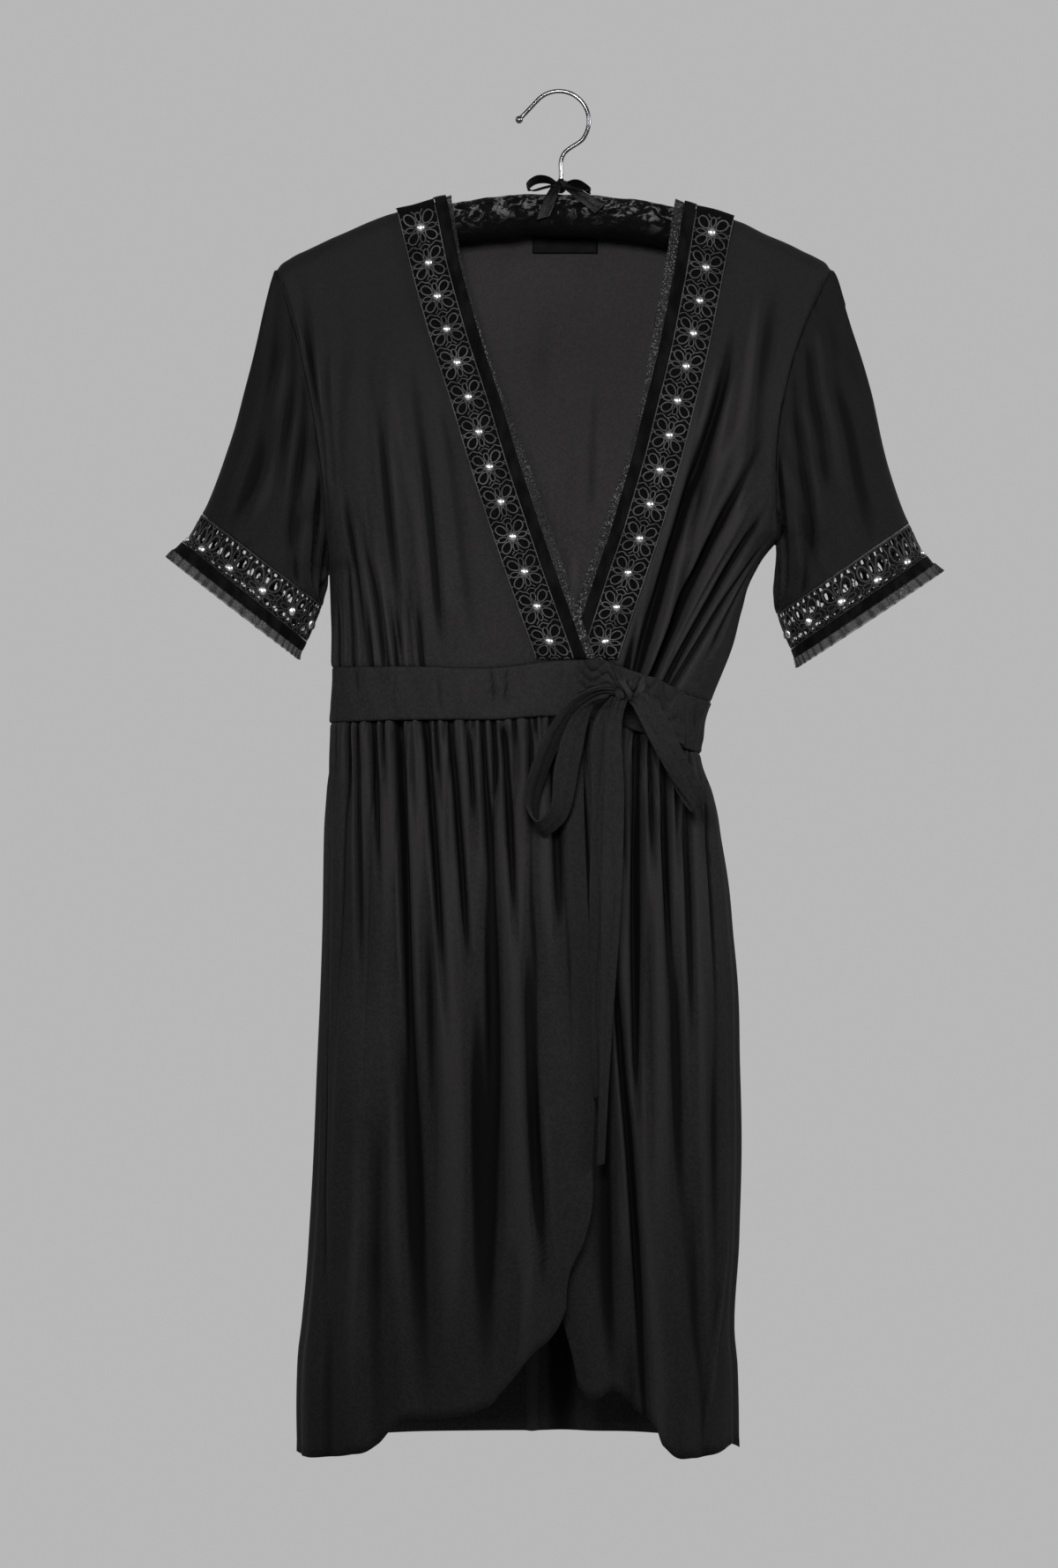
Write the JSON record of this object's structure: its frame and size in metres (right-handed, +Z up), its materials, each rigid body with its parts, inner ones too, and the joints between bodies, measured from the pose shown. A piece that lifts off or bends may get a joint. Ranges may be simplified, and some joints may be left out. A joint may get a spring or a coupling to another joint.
{
  "type": "wrap dress on padded hanger",
  "caption": "Short-sleeved crepe wrap dress with flower lace edges and a tied belt, hanging on a padded hanger.",
  "frame": {"origin": "underside of the hook's wire at the top of its arc, where the hanger rests on a rail", "axes": "+Z up, -Y the way the front of the dress faces, +X to the viewer's right, which is the wearer's left"},
  "size_m": [0.6174, 0.1425, 1.0813],
  "materials": {
    "crepe": "matt black crepe with a faint sheen and soft folds",
    "velvet": "black velvet ribbon with a short nap and woven edges",
    "crushed_velvet": "padded black crushed velvet with a patchy sheen",
    "lace": "black corded flower lace with a dark net behind",
    "studs": "small silver domes at the flowers' centres",
    "tulle": "fine black tulle, pleated",
    "satin": "black satin ribbon",
    "chrome": "bright plated wire"
  },
  "bodies": {
    "root": {"bodice_front_right": "crepe", "bodice_front_left": "crepe", "bodice_back": "crepe", "waistband_front_right": "crepe", "waistband_front_left": "crepe", "waistband_back": "crepe", "skirt_front_right": "crepe", "skirt_front_left": "crepe", "skirt_back": "crepe", "sleeve_right": "crepe", "cuff_ribbon_right": "velvet", "cuff_frill_right": "tulle", "sleeve_left": "crepe", "cuff_ribbon_left": "velvet", "cuff_frill_left": "tulle", "cuff_lace_right_front": "lace", "cuff_lace_right_back": "lace", "cuff_lace_left_front": "lace", "cuff_lace_left_back": "lace", "neck_lace_right": "lace", "neck_ribbon_right": "velvet", "neck_frill_right": "tulle", "neck_lace_left": "lace", "neck_ribbon_left": "velvet", "neck_frill_left": "tulle", "neck_label": "satin", "belt_knot": "crepe", "belt_loop_right": "crepe", "belt_loop_left": "crepe", "belt_tail_front": "crepe", "belt_tail_back": "crepe", "belt_strap_right": "crepe", "belt_strap_left": "crepe", "hanger_body": "crushed_velvet", "hanger_hook": "chrome", "hook_tip": "chrome", "ribbon_knot": "satin", "ribbon_loop_right": "satin", "ribbon_loop_left": "satin", "ribbon_tail_right": "satin", "ribbon_tail_left": "satin"}
  },
  "joints": []
}
